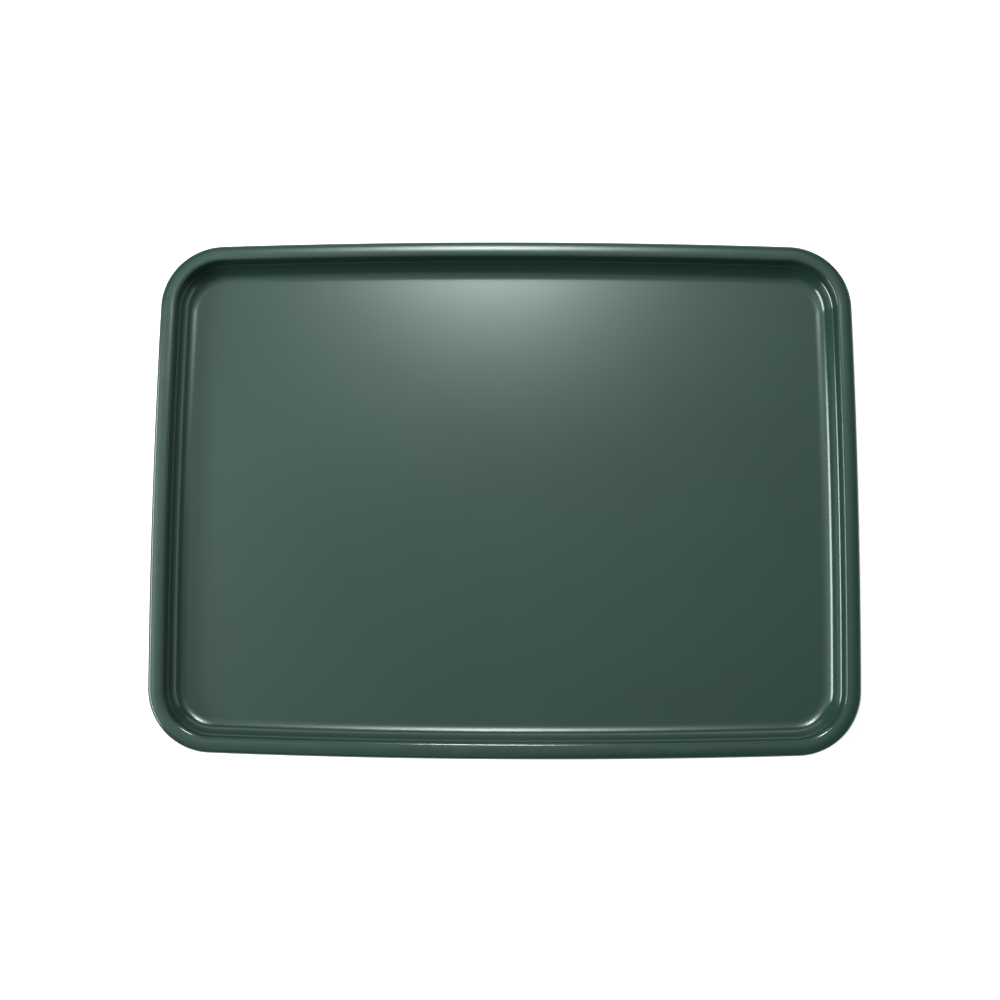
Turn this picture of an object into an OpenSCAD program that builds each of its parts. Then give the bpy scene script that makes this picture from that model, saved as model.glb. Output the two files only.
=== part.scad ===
// Rectangular serving tray: a one-piece reinforced-plastic moulding with a steel rod inside its rim.
// X runs along the long sides, Y towards the far long side, Z up; the origin is under the tray's middle.

/* [Outline] */
// Length over the outer edge
tray_w = 415; // [380:5:450]
// Width over the outer edge
tray_d = 306; // [286:2:340]
// Corner radius of the outer edge, seen from above
corner_r = 38; // [32:1:55]
// How far each long side bows outwards
long_bow = 4.2; // [2:0.1:7]
// How far each short side bows outwards
short_bow = 2.3; // [1.5:0.1:5]

/* [Rim] */
// Height of the rim above the table
tray_h = 19; // [19:0.5:23]
// Distance from the outer edge to the edge of the well
rim_w = 9.2; // [9.2:0.1:10]
// Thickness of the rim, crown to underside
rim_t = 6; // [5.6:0.1:7]
// Distance from the outer edge to the highest line of the rim
crown_x = 5.3; // [5.1:0.1:5.3]
// Radius of the crown across the rim
crown_r = 11; // [8:0.5:11]
// Slope of the rim where it meets the outer edge, in degrees
outer_slope = 12; // [9:1:12]
// Slope of the rim where it meets the well, in degrees
inner_slope = 14; // [12:1:14]
// Rounding of the outer edge
edge_r = 2.4; // [1.8:0.1:3]
// Rounding under the outer edge
under_r = 1.2; // [0.6:0.1:1.6]
// Rounding of the edge between the rim and the well
lip_r = 1.6; // [0.8:0.1:1.6]

/* [Well] */
// Thickness of the floor and walls
skin_t = 2.6; // [2.2:0.1:2.8]
// Slope of the wall above the ledge, in degrees from upright
upper_slope = 4; // [3:1:6]
// Slope of the wall below the ledge, in degrees from upright
lower_slope = 20; // [18:1:22]
// How far the upper edge of the ledge lies below the rim
ledge_drop = 8.4; // [7.5:0.1:8.6]
// Width of the ledge, seen from above
ledge_w = 0.75; // [0.6:0.05:1]
// Slope of the ledge, in degrees from level
ledge_slope = 36; // [24:2:40]
// Rounding of the ledge
ledge_r = 0.6; // [0.2:0.1:0.6]
// Radius between the wall and the floor
floor_r = 9.3; // [7:0.1:9.5]
// Rounding where the rim's underside meets the wall
root_r = 1.5; // [0.8:0.1:2]

/* [Rod] */
// Diameter of the steel rod
rod_d = 3; // [2:0.1:3]
// Distance from the outer edge to the middle of the rod
rod_inset = 4.4; // [4:0.1:4.8]
// Depth of the middle of the rod below the top of the rim
rod_drop = 3.1; // [2.9:0.1:3.2]

/* [Detail] */
// Flats round each corner
corner_steps = 12; // [8:2:14]
// Flats along each long side
long_steps = 6; // [4:2:8]
// Flats along each short side
short_steps = 4; // [4:2:6]
// Flats round the rod
rod_steps = 12; // [8:2:14]

/* [Hidden] */

half_w = tray_w / 2;
half_d = tray_d / 2;

// Radius of the circle that bows a side of the given half length by the given amount.
function bow_radius(half, bow) = (half * half + bow * bow) / (2 * bow);
long_r = bow_radius(half_w, long_bow);
short_r = bow_radius(half_d, short_bow);

// Centres of the circles behind the far long side and the right short side.
long_c = [0, half_d - long_r];
short_c = [half_w - short_r, 0];

// The corner circle touches both side circles from within, so its centre lies
// where two circles about their centres cross.
long_reach = long_r - corner_r;
short_reach = short_r - corner_r;
span = norm(short_c - long_c);
along = (long_reach ^ 2 - short_reach ^ 2 + span ^ 2) / (2 * span);
aside = sqrt(long_reach ^ 2 - along ^ 2);
line = (short_c - long_c) / span;
corner_c = long_c + along * line + aside * [line[1], -line[0]];

// Directions in which the corner hands over to each side, measured from +X.
short_end = atan2(corner_c[1], corner_c[0] - short_c[0]);
long_end = atan2(corner_c[1] - long_c[1], corner_c[0]);

// Evenly spaced directions, leaving out the last one.
function sweep(from, to, steps) = [for (i = [0:steps - 1]) from + (to - from) * i / steps];

// Each station is a centre, a radius and the direction that the outer edge faces there.
function mirrored(c, i) = [i == 0 || i == 3 ? c[0] : -c[0], i < 2 ? c[1] : -c[1]];
function corner_angles(i) =
    i == 0 ? sweep(short_end, long_end, corner_steps) :
    i == 1 ? sweep(180 - long_end, 180 - short_end, corner_steps) :
    i == 2 ? sweep(180 + short_end, 180 + long_end, corner_steps) :
    sweep(360 - long_end, 360 - short_end, corner_steps);
function side_angles(i) =
    i == 0 ? sweep(long_end, 180 - long_end, long_steps) :
    i == 1 ? sweep(180 - short_end, 180 + short_end, short_steps) :
    i == 2 ? sweep(180 + long_end, 360 - long_end, long_steps) :
    sweep(360 - short_end, 360 + short_end, short_steps);
side_centres = [long_c, -short_c, -long_c, short_c];
side_radii = [long_r, short_r, long_r, short_r];
stations = [
    for (i = [0:3]) each concat(
        [for (a = corner_angles(i)) [mirrored(corner_c, i), corner_r, a]],
        [for (a = side_angles(i)) [side_centres[i], side_radii[i], a]]
    )
];

// A point of the section, given as distance in from the outer edge and height, at a station.
function placed(s, p) = [
    s[0][0] + (s[1] - p[0]) * cos(s[2]),
    s[0][1] + (s[1] - p[0]) * sin(s[2]),
    p[1]
];

// Rounds the corner at b between the lines to a and c with radius r, in n flats.
function unit(v) = v / norm(v);
function rounded(a, b, c, r, n) =
    let (
        u = unit(a - b),
        v = unit(c - b),
        half_angle = acos(u * v) / 2,
        middle = b + unit(u + v) * r / sin(half_angle),
        p = b + u * r / tan(half_angle) - middle,
        q = b + v * r / tan(half_angle) - middle,
        turn = 180 - 2 * half_angle
    )
    [for (i = [0:n]) middle + (sin(turn * (1 - i / n)) * p + sin(turn * i / n) * q) / sin(turn)];

// Corners of the section, as distance in from the outer edge and height.
crown_turn = (outer_slope + inner_slope) / 2;
crown_lean = (inner_slope - outer_slope) / 2;
crown = [
    crown_x + crown_r * sin(crown_lean) / cos(crown_turn),
    tray_h - crown_r + crown_r * cos(crown_lean) / cos(crown_turn)
];
edge_top = [0, crown[1] - crown[0] * tan(outer_slope)];
edge_foot = [0, tray_h - rim_t];
lip = [rim_w, crown[1] - (rim_w - crown[0]) * tan(inner_slope)];
ledge_z = tray_h - ledge_drop;
ledge_out = [rim_w + (lip[1] - ledge_z) * tan(upper_slope), ledge_z];
ledge_in = ledge_out + ledge_w * [1, -tan(ledge_slope)];
floor_corner = [ledge_in[0] + (ledge_in[1] - skin_t) * tan(lower_slope), skin_t];
back_x = ledge_in[0] - skin_t / cos(lower_slope);
root = [back_x - (edge_foot[1] - ledge_in[1]) * tan(lower_slope), edge_foot[1]];
sole_corner = [back_x + ledge_in[1] * tan(lower_slope), 0];
inward = [100, 0];

// The section runs from the floor up the wall, over the rim and back underneath.
section = concat(
    rounded(floor_corner + inward, floor_corner, ledge_in, floor_r, 8),
    rounded(floor_corner, ledge_in, ledge_out, ledge_r, 3),
    rounded(ledge_in, ledge_out, lip, ledge_r, 3),
    rounded(ledge_out, lip, crown, lip_r, 4),
    rounded(lip, crown, edge_top, crown_r, 6),
    rounded(crown, edge_top, edge_foot, edge_r, 5),
    rounded(edge_top, edge_foot, root, under_r, 3),
    rounded(edge_foot, root, sole_corner, root_r, 3),
    rounded(root, sole_corner, sole_corner + inward, floor_r + skin_t, 7)
);

rod_middle = [rod_inset, tray_h - rod_drop];
rod_section = [
    for (i = [0:rod_steps - 1])
        rod_middle + rod_d / 2 * [cos(360 * i / rod_steps), sin(360 * i / rod_steps)]
];

// Faces between neighbouring stations for profile points i and i + 1.
function wall_faces(count, points, i, j) = [
    for (s = [0:count - 1])
        [s * points + i, ((s + 1) % count) * points + i, ((s + 1) % count) * points + j, s * points + j]
];

// Carries an open section round the outline and closes it with two flat faces.
module swept_shell(profile) {
    count = len(stations);
    points = len(profile);
    polyhedron(
        points = [for (s = stations) each [for (p = profile) placed(s, p)]],
        faces = concat(
            [for (i = [0:points - 2]) each wall_faces(count, points, i, i + 1)],
            [[for (s = [count - 1:-1:0]) s * points]],
            [[for (s = [0:count - 1]) s * points + points - 1]]
        )
    );
}

// Carries a closed section round the outline.
module swept_ring(profile) {
    count = len(stations);
    points = len(profile);
    polyhedron(
        points = [for (s = stations) each [for (p = profile) placed(s, p)]],
        faces = [for (i = [0:points - 1]) each wall_faces(count, points, i, (i + 1) % points)]
    );
}

// The tray itself, with the closed channel that holds the rod.
module tray_moulding() {
    color([0.16, 0.24, 0.2])
        difference() {
            swept_shell(section);
            swept_ring(rod_section);
        }
}

// The steel rod bent into a closed ring inside the rim.
module rim_rod() {
    color([0.62, 0.63, 0.64])
        swept_ring(rod_section);
}

tray_moulding();
rim_rod();
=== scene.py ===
import math

import bmesh
import bpy
from mathutils import Matrix, Vector


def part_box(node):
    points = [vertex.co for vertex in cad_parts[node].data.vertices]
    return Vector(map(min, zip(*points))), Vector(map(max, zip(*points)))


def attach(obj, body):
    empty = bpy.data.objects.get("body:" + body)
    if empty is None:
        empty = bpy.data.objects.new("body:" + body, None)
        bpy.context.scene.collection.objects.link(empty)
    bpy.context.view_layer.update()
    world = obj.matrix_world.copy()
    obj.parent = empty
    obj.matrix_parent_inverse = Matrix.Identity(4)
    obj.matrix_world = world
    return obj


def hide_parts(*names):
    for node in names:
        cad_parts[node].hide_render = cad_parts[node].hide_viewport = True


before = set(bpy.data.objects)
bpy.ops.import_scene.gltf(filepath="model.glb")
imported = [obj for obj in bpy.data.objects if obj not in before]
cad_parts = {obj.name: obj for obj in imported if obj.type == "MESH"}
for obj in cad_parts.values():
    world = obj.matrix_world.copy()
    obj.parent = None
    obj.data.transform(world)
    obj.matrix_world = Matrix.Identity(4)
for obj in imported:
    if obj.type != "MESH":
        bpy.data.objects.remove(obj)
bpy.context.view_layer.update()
scene = bpy.context.scene
print("frame loaded")

outline = {
    "cornerRadius": 0.038,
    "longBow": 0.0042,      # how far a long side bows out
    "shortBow": 0.0023,
    "cornerSteps": 44,
    "longSteps": 14,        # along half a side
    "shortSteps": 10,
    "mirrorGap": 0.00002,   # points closer than this are one point on the mirror planes
    "weldGap": 0.000005,
}


def bowRadius(half, bow):
    return (half * half + bow * bow) / (2 * bow)


def quarterArcs(high):
    # centre, angle and steps of each arc from the middle of the right side to the middle of the far side
    longR = bowRadius(high.x, outline["longBow"])
    shortR = bowRadius(high.y, outline["shortBow"])
    longC = Vector((0, high.y - longR))
    shortC = Vector((high.x - shortR, 0))
    longReach = longR - outline["cornerRadius"]
    shortReach = shortR - outline["cornerRadius"]
    gap = shortC - longC
    along = (longReach ** 2 - shortReach ** 2 + gap.length_squared) / (2 * gap.length)
    aside = math.sqrt(longReach ** 2 - along ** 2)
    line = gap.normalized()
    corner = longC + along * line + aside * Vector((line.y, -line.x))   # touches both side circles
    shortEnd = math.atan2(corner.y, corner.x - shortC.x)
    longEnd = math.atan2(corner.y - longC.y, corner.x)
    return [(shortC.to_3d(), shortEnd, outline["shortSteps"]),
            (corner.to_3d(), longEnd - shortEnd, outline["cornerSteps"]),
            (longC.to_3d(), math.pi / 2 - longEnd, outline["longSteps"])]


def carryRound(bm, high):
    # sweeps a section drawn at the right edge through one quarter, then mirrors it twice
    last = bm.verts[:] + bm.edges[:]
    for centre, angle, steps in quarterArcs(high):
        made = bmesh.ops.spin(bm, geom=last, cent=centre, axis=(0, 0, 1), angle=angle,
                              steps=steps, use_merge=False, use_duplicate=False)
        last = made["geom_last"]
    for v in last:
        if isinstance(v, bmesh.types.BMVert):
            v.co.x = 0
    for axis in ("X", "Y"):
        bmesh.ops.mirror(bm, geom=bm.verts[:] + bm.edges[:] + bm.faces[:], axis=axis,
                         merge_dist=outline["mirrorGap"])
    bmesh.ops.remove_doubles(bm, verts=bm.verts, dist=outline["weldGap"])


def finishedObject(bm, name, material):
    bmesh.ops.recalc_face_normals(bm, faces=bm.faces)
    for face in bm.faces:
        face.smooth = True
    mesh = bpy.data.meshes.new(name)
    bm.to_mesh(mesh)
    bm.free()
    piece = bpy.data.objects.new(name, mesh)
    scene.collection.objects.link(piece)
    mesh.materials.append(material)
    return piece


tray = {
    "rimWidth": 0.0092,       # outer edge to the edge of the well
    "rimDepth": 0.006,        # crown to underside
    "crownInset": 0.0053,
    "crownRadius": 0.011,
    "outerSlope": 12,
    "innerSlope": 14,
    "edgeRadius": 0.0024,
    "underRadius": 0.0012,
    "lipRadius": 0.0016,
    "skin": 0.0026,
    "upperSlope": 4,          # walls, in degrees from upright
    "lowerSlope": 20,
    "ledgeDrop": 0.0084,
    "ledgeWidth": 0.00075,
    "ledgeSlope": 36,
    "ledgeRadius": 0.0006,
    "floorRadius": 0.0093,
    "rootRadius": 0.0015,
    "floorInset": 0.003,      # ring of flat floor beside the fillet
    "inward": 0.1,            # only gives the floor lines their direction
    "levelSlack": 0.0001,     # for telling the floor's edge from the underside's
}


def slopeOf(degrees):
    return math.tan(math.radians(degrees))


def traySection(height):
    # corners as distance in from the edge, height, rounding and steps,
    # from the floor over the rim and back below
    t = tray
    turn = math.radians((t["outerSlope"] + t["innerSlope"]) / 2)
    lean = math.radians((t["innerSlope"] - t["outerSlope"]) / 2)
    reach = t["crownRadius"] / math.cos(turn)
    crownX = t["crownInset"] + reach * math.sin(lean)
    crownZ = height - t["crownRadius"] + reach * math.cos(lean)
    footZ = height - t["rimDepth"]
    lipZ = crownZ - (t["rimWidth"] - crownX) * slopeOf(t["innerSlope"])
    outZ = height - t["ledgeDrop"]
    outX = t["rimWidth"] + (lipZ - outZ) * slopeOf(t["upperSlope"])
    inX = outX + t["ledgeWidth"]
    inZ = outZ - t["ledgeWidth"] * slopeOf(t["ledgeSlope"])
    lower = slopeOf(t["lowerSlope"])
    floorX = inX + (inZ - t["skin"]) * lower
    backX = inX - t["skin"] / math.cos(math.radians(t["lowerSlope"]))
    return [
        (floorX + t["inward"], t["skin"], 0, 0),
        (floorX, t["skin"], t["floorRadius"], 28),
        (inX, inZ, t["ledgeRadius"], 6),
        (outX, outZ, t["ledgeRadius"], 6),
        (t["rimWidth"], lipZ, t["lipRadius"], 12),
        (crownX, crownZ, t["crownRadius"], 14),
        (0, crownZ - crownX * slopeOf(t["outerSlope"]), t["edgeRadius"], 18),
        (0, footZ, t["underRadius"], 8),
        (backX - (footZ - inZ) * lower, footZ, t["rootRadius"], 8),
        (backX + inZ * lower, 0, t["floorRadius"] + t["skin"], 18),
        (floorX + t["inward"], 0, 0, 0),
    ]


def drawSection(bm, corners, edge):
    # rounds each corner with an arc and joins the arcs with straight edges
    pen = None
    for before, here, after in zip(corners, corners[1:], corners[2:]):
        a, b, c = (Vector((edge - p[0], 0, p[1])) for p in (before, here, after))
        u, v = (a - b).normalized(), (c - b).normalized()
        half = u.angle(v) / 2
        centre = b + (u + v).normalized() * here[2] / math.sin(half)
        start = bm.verts.new(b + u * here[2] / math.tan(half))
        if pen:
            bm.edges.new((pen, start))
        turn = (math.pi - 2 * half) * (1 if u.cross(v).y < 0 else -1)
        made = bmesh.ops.spin(bm, geom=[start], cent=centre, axis=(0, 1, 0), angle=turn,
                              steps=here[3], use_merge=False, use_duplicate=False)
        pen = next(g for g in made["geom_last"] if isinstance(g, bmesh.types.BMVert))


def buildTray(material):
    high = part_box("tray_moulding")[1]
    bm = bmesh.new()
    drawSection(bm, traySection(high.z), high.x)
    carryRound(bm, high)
    reach = max(v.co.y for v in bm.verts)
    bmesh.ops.scale(bm, vec=(1, high.y / reach, 1), verts=bm.verts)   # takes out the sweep's tiny drift
    for level in (tray["skin"], 0):
        ring = [e for e in bm.edges if e.is_boundary and abs(e.verts[0].co.z - level) < tray["levelSlack"]]
        cap = bmesh.ops.edgeloop_fill(bm, edges=ring)["faces"]
        bmesh.ops.inset_region(bm, faces=cap, thickness=tray["floorInset"], use_even_offset=True)
    piece = finishedObject(bm, "trayMoulding", material)
    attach(piece, "root")
    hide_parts("tray_moulding")
    print("tray built:", len(piece.data.polygons), "faces")


rod = {"radius": 0.0015, "inset": 0.0044, "drop": 0.0031, "steps": 20}   # inset and drop of its middle


def buildRod(material):
    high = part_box("tray_moulding")[1]
    bm = bmesh.new()
    middle = Vector((high.x - rod["inset"], 0, high.z - rod["drop"]))
    start = bm.verts.new(middle + Vector((rod["radius"], 0, 0)))
    bmesh.ops.spin(bm, geom=[start], cent=middle, axis=(0, 1, 0), angle=2 * math.pi,
                   steps=rod["steps"], use_merge=True, use_duplicate=False)
    carryRound(bm, high)
    piece = finishedObject(bm, "rimRod", material)
    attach(piece, "root")
    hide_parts("rim_rod")
    print("rod built")


def link(tree, source, target):
    tree.links.new(source, target)


def addNode(tree, kind, settings=None, values=None):
    node = tree.nodes.new(kind)
    for key, value in (settings or {}).items():
        setattr(node, key, value)
    for key, value in (values or {}).items():
        node.inputs[key].default_value = value
    return node


def newGroup(name, inputs, outputs):
    tree = bpy.data.node_groups.new(name, "ShaderNodeTree")
    for socket, kind, value in inputs:
        made = tree.interface.new_socket(name=socket, in_out="INPUT", socket_type=kind)
        if value is not None:
            made.default_value = value
    for socket, kind in outputs:
        tree.interface.new_socket(name=socket, in_out="OUTPUT", socket_type=kind)
    return tree, tree.nodes.new("NodeGroupInput"), tree.nodes.new("NodeGroupOutput")


def placeGroup(tree, group, values=None):
    node = tree.nodes.new("ShaderNodeGroup")
    node.node_tree = group
    for key, value in (values or {}).items():
        node.inputs[key].default_value = value
    return node


def scaledNoise(tree, source, scaleSocket, detail, roughness=0.5):
    # noise whose scale comes from a group input
    noise = addNode(tree, "ShaderNodeTexNoise", values={"Detail": detail, "Roughness": roughness})
    link(tree, source, noise.inputs["Vector"])
    link(tree, scaleSocket, noise.inputs["Scale"])
    return noise


def plainNoise(tree, source, scale, detail):
    noise = addNode(tree, "ShaderNodeTexNoise", values={"Scale": scale, "Detail": detail})
    link(tree, source, noise.inputs["Vector"])
    return noise.outputs["Fac"]


def spread(tree, source, low, high, outLow, outHigh):
    # maps a range of values onto another one, with soft ends
    node = addNode(tree, "ShaderNodeMapRange", {"interpolation_type": "SMOOTHSTEP"},
                   {"From Min": low, "From Max": high, "To Min": outLow, "To Max": outHigh})
    link(tree, source, node.inputs["Value"])
    return node.outputs["Result"]


def combine(tree, operation, first, second):
    node = addNode(tree, "ShaderNodeMath", {"operation": operation})
    for socket, value in zip(node.inputs, (first, second)):
        if isinstance(value, (int, float)):
            socket.default_value = value
        else:
            link(tree, value, socket)
    return node.outputs[0]


def mouldGrainGroup():
    # soft waviness of a moulded skin with a finer grain on it
    tree, given, out = newGroup("mouldGrain", [
        ("Vector", "NodeSocketVector", None), ("Wave Scale", "NodeSocketFloat", 90.0),
        ("Grain Scale", "NodeSocketFloat", 2600.0), ("Grain Share", "NodeSocketFloat", 0.4)],
        [("Height", "NodeSocketFloat"), ("Grain", "NodeSocketFloat")])
    wave = scaledNoise(tree, given.outputs["Vector"], given.outputs["Wave Scale"], 2)
    grain = scaledNoise(tree, given.outputs["Vector"], given.outputs["Grain Scale"], 3, 0.6)
    share = combine(tree, "MULTIPLY", grain.outputs["Fac"], given.outputs["Grain Share"])
    link(tree, combine(tree, "ADD", wave.outputs["Fac"], share), out.inputs["Height"])
    link(tree, grain.outputs["Fac"], out.inputs["Grain"])
    return tree


scuff = {
    "sets": ((0.35, 0.0), (1.25, 3.1), (2.4, 6.7)),   # direction and offset of each set of streaks
    "streak": (0.66, 0.74),
    "patchScale": 26.0,
    "patch": (0.4, 0.62),
}


def hairlinesGroup():
    # fine straight scuffs: three crossing sets of long thin streaks, broken up into patches
    tree, given, out = newGroup("hairlines", [
        ("Vector", "NodeSocketVector", None), ("Length", "NodeSocketFloat", 22.0),
        ("Fineness", "NodeSocketFloat", 1900.0), ("Cover", "NodeSocketFloat", 0.5)],
        [("Mask", "NodeSocketFloat")])
    total = 0.0
    for angle, shift in scuff["sets"]:
        turned = addNode(tree, "ShaderNodeVectorRotate", {"rotation_type": "Z_AXIS"}, {"Angle": angle})
        link(tree, given.outputs["Vector"], turned.inputs["Vector"])
        size = addNode(tree, "ShaderNodeCombineXYZ", values={"Z": 1.0})
        link(tree, given.outputs["Length"], size.inputs["X"])
        link(tree, given.outputs["Fineness"], size.inputs["Y"])
        stretched = addNode(tree, "ShaderNodeVectorMath", {"operation": "MULTIPLY_ADD"})
        link(tree, turned.outputs["Vector"], stretched.inputs[0])
        link(tree, size.outputs["Vector"], stretched.inputs[1])
        stretched.inputs[2].default_value = (shift, shift, shift)
        streak = plainNoise(tree, stretched.outputs["Vector"], 1.0, 1.0)
        total = combine(tree, "ADD", total, spread(tree, streak, *scuff["streak"], 0, 1))
    patch = plainNoise(tree, given.outputs["Vector"], scuff["patchScale"], 2.0)
    kept = combine(tree, "MULTIPLY", spread(tree, patch, *scuff["patch"], 0, 1), given.outputs["Cover"])
    link(tree, combine(tree, "MULTIPLY", total, kept), out.inputs["Mask"])
    return tree


def colourDriftGroup():
    # slow change between a darker and a lighter tone of one colour, with faint specks
    tree, given, out = newGroup("colourDrift", [
        ("Vector", "NodeSocketVector", None), ("Dark", "NodeSocketColor", None),
        ("Light", "NodeSocketColor", None), ("Drift Scale", "NodeSocketFloat", 7.0),
        ("Speck Scale", "NodeSocketFloat", 1500.0), ("Speck Share", "NodeSocketFloat", 0.25)],
        [("Color", "NodeSocketColor")])
    drift = scaledNoise(tree, given.outputs["Vector"], given.outputs["Drift Scale"], 3)
    speck = scaledNoise(tree, given.outputs["Vector"], given.outputs["Speck Scale"], 2)
    centred = combine(tree, "SUBTRACT", speck.outputs["Fac"], 0.5)
    share = combine(tree, "MULTIPLY", centred, given.outputs["Speck Share"])
    amount = combine(tree, "ADD", spread(tree, drift.outputs["Fac"], 0.3, 0.7, 0, 1), share)
    mix = addNode(tree, "ShaderNodeMix", {"data_type": "RGBA", "clamp_factor": True})
    link(tree, amount, mix.inputs["Factor"])
    link(tree, given.outputs["Dark"], mix.inputs[6])      # the colour sockets of a mix node
    link(tree, given.outputs["Light"], mix.inputs[7])
    link(tree, mix.outputs[2], out.inputs["Color"])
    return tree


mouldGrain = mouldGrainGroup()
hairlines = hairlinesGroup()
colourDrift = colourDriftGroup()

plastic = {
    "dark": (0.0138, 0.0352, 0.0246),
    "light": (0.0159, 0.0400, 0.0280),
    "rubbed": (0.030, 0.056, 0.046),    # where hands and trays have worn the rim
    "floorRoughness": 0.3,
    "wallRoughness": 0.14,
    "rimRoughness": 0.3,
    "grainRoughness": 0.012,           # how far the grain moves the roughness either way
    "scuffRoughness": 0.05,
    "floorTop": 0.0032,                # satin up to here, glossy above
    "wallFoot": 0.0041,
    "crownFrom": 0.0004,               # the satin crown fades in between these depths below the top
    "crownTo": 0.00015,
    "patchScale": 60.0,                # worn patches
    "patch": (0.5, 0.72),
    "wear": 0.3,
    "scuffCover": 0.35,
    "scuffDepth": 0.3,
    "waveScale": 75.0,
    "grainScale": 2400.0,
    "specularTint": (0.88, 1.0, 0.965),
    "bumpDistance": 0.00002,
}


def blendTo(tree, factor, first, second):
    # colours or values, mixed by a mask
    isColour = isinstance(second, tuple)
    mix = addNode(tree, "ShaderNodeMix", {"data_type": "RGBA" if isColour else "FLOAT"})
    a, b, result = (6, 7, 2) if isColour else (2, 3, 0)
    link(tree, factor, mix.inputs["Factor"])
    for index, value in ((a, first), (b, second)):
        if isinstance(value, tuple):
            mix.inputs[index].default_value = (*value, 1)
        elif isinstance(value, (int, float)):
            mix.inputs[index].default_value = value
        else:
            link(tree, value, mix.inputs[index])
    return mix.outputs[result]


def makeTrayPlastic():
    p = plastic
    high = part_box("tray_moulding")[1].z
    material = bpy.data.materials.new("trayPlastic")
    material.use_nodes = True
    tree = material.node_tree
    shader = tree.nodes["Principled BSDF"]
    shader.inputs["Specular Tint"].default_value = (*p["specularTint"], 1)
    place = tree.nodes.new("ShaderNodeTexCoord").outputs["Object"]
    split = addNode(tree, "ShaderNodeSeparateXYZ")
    link(tree, place, split.inputs["Vector"])
    level = split.outputs["Z"]
    grain = placeGroup(tree, mouldGrain, {"Wave Scale": p["waveScale"], "Grain Scale": p["grainScale"]})
    scuffs = placeGroup(tree, hairlines, {"Cover": p["scuffCover"]})
    drift = placeGroup(tree, colourDrift, {"Dark": (*p["dark"], 1), "Light": (*p["light"], 1)})
    for group in (grain, scuffs, drift):
        link(tree, place, group.inputs["Vector"])

    gloss = spread(tree, level, p["floorTop"], p["wallFoot"], 0, 1)
    crown = spread(tree, level, high - p["crownFrom"], high - p["crownTo"], 0, 1)
    patches = plainNoise(tree, place, p["patchScale"], 4.0)
    worn = combine(tree, "MULTIPLY", crown, spread(tree, patches, *p["patch"], 0, p["wear"]))

    link(tree, blendTo(tree, worn, drift.outputs["Color"], p["rubbed"]), shader.inputs["Base Color"])
    upper = blendTo(tree, crown, p["wallRoughness"], p["rimRoughness"])
    uneven = spread(tree, grain.outputs["Grain"], 0.3, 0.7, -p["grainRoughness"], p["grainRoughness"])
    rough = combine(tree, "ADD", blendTo(tree, gloss, p["floorRoughness"], upper), uneven)
    rough = combine(tree, "ADD", rough,
                    combine(tree, "MULTIPLY", scuffs.outputs["Mask"], p["scuffRoughness"]))
    link(tree, rough, shader.inputs["Roughness"])
    bump = addNode(tree, "ShaderNodeBump", values={"Strength": 1.0, "Distance": p["bumpDistance"]})
    height = combine(tree, "SUBTRACT", grain.outputs["Height"],
                     combine(tree, "MULTIPLY", scuffs.outputs["Mask"], p["scuffDepth"]))
    link(tree, height, bump.inputs["Height"])
    link(tree, bump.outputs["Normal"], shader.inputs["Normal"])
    return material


steel = {
    "dark": (0.50, 0.51, 0.52),
    "light": (0.62, 0.63, 0.64),
    "roughness": (0.25, 0.35),
    "lineRoughness": 0.15,
    "bumpDistance": 0.00001,
}


def makeRodSteel():
    # drawn wire: fine crossing lines, with a little dulling
    material = bpy.data.materials.new("rodSteel")
    material.use_nodes = True
    tree = material.node_tree
    shader = tree.nodes["Principled BSDF"]
    shader.inputs["Metallic"].default_value = 1
    place = tree.nodes.new("ShaderNodeTexCoord").outputs["Object"]
    grain = placeGroup(tree, mouldGrain, {"Wave Scale": 300.0, "Grain Scale": 5200.0})
    lines = placeGroup(tree, hairlines, {"Length": 40.0, "Fineness": 5200.0, "Cover": 1.0})
    drift = placeGroup(tree, colourDrift, {"Dark": (*steel["dark"], 1), "Light": (*steel["light"], 1),
                                           "Drift Scale": 60.0, "Speck Scale": 3000.0})
    for group in (grain, lines, drift):
        link(tree, place, group.inputs["Vector"])
    link(tree, drift.outputs["Color"], shader.inputs["Base Color"])
    rough = combine(tree, "ADD", combine(tree, "MULTIPLY", lines.outputs["Mask"], steel["lineRoughness"]),
                    spread(tree, grain.outputs["Grain"], 0.3, 0.7, *steel["roughness"]))
    link(tree, rough, shader.inputs["Roughness"])
    bump = addNode(tree, "ShaderNodeBump", values={"Strength": 1.0, "Distance": steel["bumpDistance"]})
    height = combine(tree, "SUBTRACT", grain.outputs["Height"], lines.outputs["Mask"])
    link(tree, height, bump.inputs["Height"])
    link(tree, bump.outputs["Normal"], shader.inputs["Normal"])
    return material


trayPlastic = makeTrayPlastic()
rodSteel = makeRodSteel()
print("materials made")

buildTray(trayPlastic)
buildRod(rodSteel)

studio = {
    "floorColour": (0.85, 0.85, 0.85),
    "floorGlow": 0.78,       # lifts the sheet to clean white
    "floorRoughness": 0.6,
    "floorDrop": 0.0002,     # the sheet lies this far under the tray
    "floorSize": 8,
    "world": 0.08,           # what the tray sees
    "backdrop": 0.86,        # what shows past the far edge of the sheet
}

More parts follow.
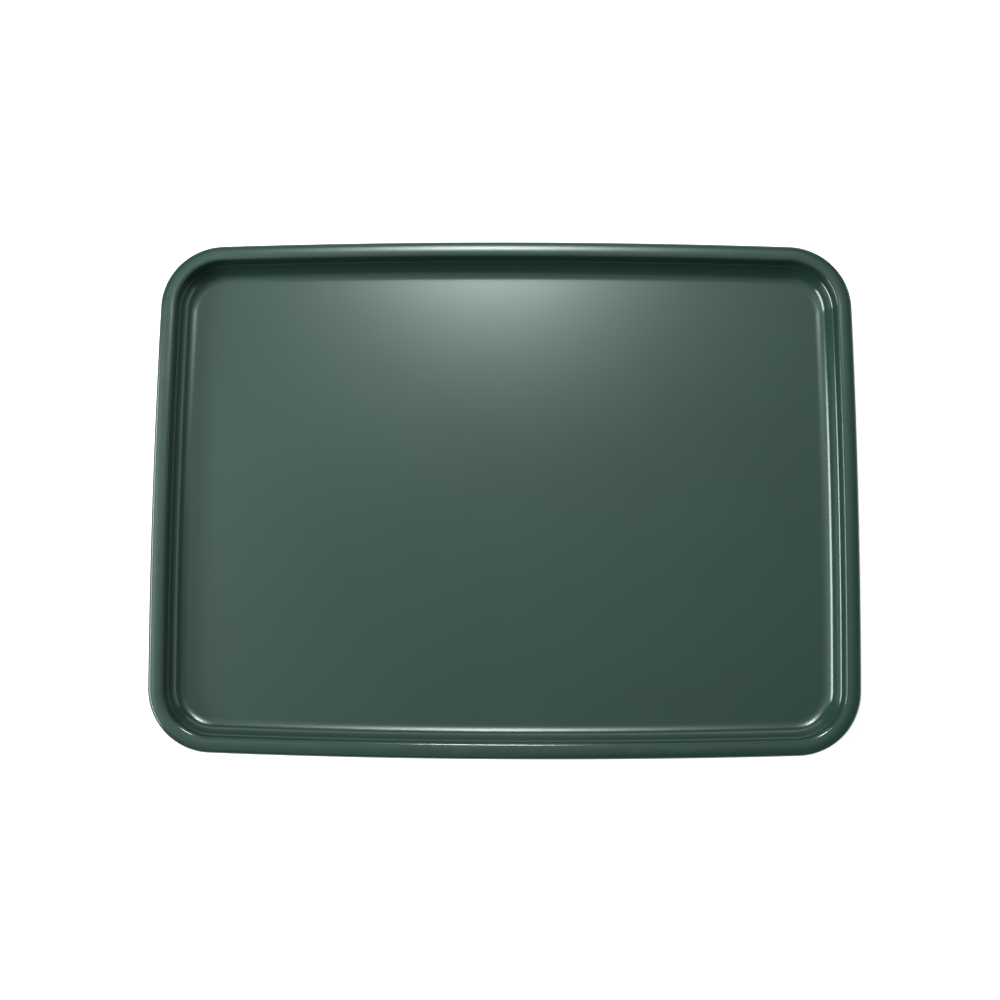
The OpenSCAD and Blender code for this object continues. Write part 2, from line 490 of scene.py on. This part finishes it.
lamps = {                    # place, aim, size, power and colour
    "farBox": ((-0.028, 0.464, 0.681), (0, 0, 0), (0.14, 0.2), 6.1, (1, 1, 1)),
    "leftBox": ((-1.3, -0.16, 0.86), (0, 0, 0), (1.1, 0.41), 25, (0.95, 0.98, 1)),
    "hazeBox": ((-0.62, 0.1, 0.85), (0, 0, 0), (0.5, 0.8), 1.2, (0.88, 0.96, 1)),
    "highBox": ((-0.15, 0.2, 1.0), (0, 0.1, 0), (2.0, 1.4), 4.1, (1, 1, 1)),
    "rightPanel": ((1.2, 0, 0.3), (0, 0, 0.3), (1.5, 0.5), 3, (1, 1, 1)),
    "farPanel": ((0, 1.25, 0.3), (0, 0, 0.3), (1.7, 0.5), 3.6, (1, 1, 1)),
}

view = {
    "distance": 0.83,        # from the middle of the rim
    "rimMiddle": 0.003,      # below the top of the rim
    "sensor": 36,
    "lens": 50.83,
    "clipStart": 0.01,
    "tilt": 6.79,
    "roll": 0.17,
    "pan": 0.78,
    "shift": (-0.0042, -0.00475),
}


def makePaleFloor():
    material = bpy.data.materials.new("paleFloor")
    material.use_nodes = True
    tree = material.node_tree
    shader = tree.nodes["Principled BSDF"]
    shader.inputs["Base Color"].default_value = (*studio["floorColour"], 1)
    shader.inputs["Roughness"].default_value = studio["floorRoughness"]
    shader.inputs["Emission Color"].default_value = (1, 1, 1, 1)
    shader.inputs["Emission Strength"].default_value = studio["floorGlow"]
    return material


def layFloor():
    bm = bmesh.new()
    bmesh.ops.create_grid(bm, x_segments=1, y_segments=1, size=studio["floorSize"])
    bmesh.ops.translate(bm, verts=bm.verts, vec=(0, 0, -studio["floorDrop"]))
    finishedObject(bm, "studioFloor", makePaleFloor())


def softbox(name, place, aim, size, power, colour):
    data = bpy.data.lights.new(name, "AREA")
    data.shape = "RECTANGLE"
    data.size, data.size_y = size
    data.energy = power
    data.color = colour
    lamp = bpy.data.objects.new(name, data)
    lamp.location = place
    lamp.rotation_euler = (Vector(aim) - Vector(place)).to_track_quat("-Z", "Y").to_euler()
    scene.collection.objects.link(lamp)


def makeWorld():
    # dim for the tray's own light, pale behind the sheet
    world = bpy.data.worlds.new("studio")
    scene.world = world
    world.use_nodes = True
    tree = world.node_tree
    dim = tree.nodes["Background"]
    dim.inputs["Color"].default_value = (1, 1, 1, 1)
    dim.inputs["Strength"].default_value = studio["world"]
    pale = addNode(tree, "ShaderNodeBackground",
                   values={"Color": (1, 1, 1, 1), "Strength": studio["backdrop"]})
    rays = tree.nodes.new("ShaderNodeLightPath")
    choice = tree.nodes.new("ShaderNodeMixShader")
    link(tree, rays.outputs["Is Camera Ray"], choice.inputs["Fac"])
    link(tree, dim.outputs["Background"], choice.inputs[1])
    link(tree, pale.outputs["Background"], choice.inputs[2])
    link(tree, choice.outputs["Shader"], tree.nodes["World Output"].inputs["Surface"])


def placeCamera():
    data = bpy.data.cameras.new("camera")
    camera = bpy.data.objects.new("camera", data)
    scene.collection.objects.link(camera)
    data.sensor_width = view["sensor"]
    data.lens = view["lens"]
    data.clip_start = view["clipStart"]
    data.shift_x, data.shift_y = view["shift"]
    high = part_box("tray_moulding")[1]
    turn = (Matrix.Rotation(math.radians(view["roll"]), 4, "Z")
            @ Matrix.Rotation(math.radians(view["tilt"]), 4, "X")
            @ Matrix.Rotation(math.radians(view["pan"]), 4, "Y"))
    camera.matrix_world = (Matrix.Translation((0, 0, high.z - view["rimMiddle"])) @ turn
                           @ Matrix.Translation((0, 0, view["distance"])))
    scene.camera = camera


layFloor()
for name, values in lamps.items():
    softbox(name, *values)
makeWorld()
placeCamera()
scene.view_settings.view_transform = "Standard"
print("floor, light and camera placed")
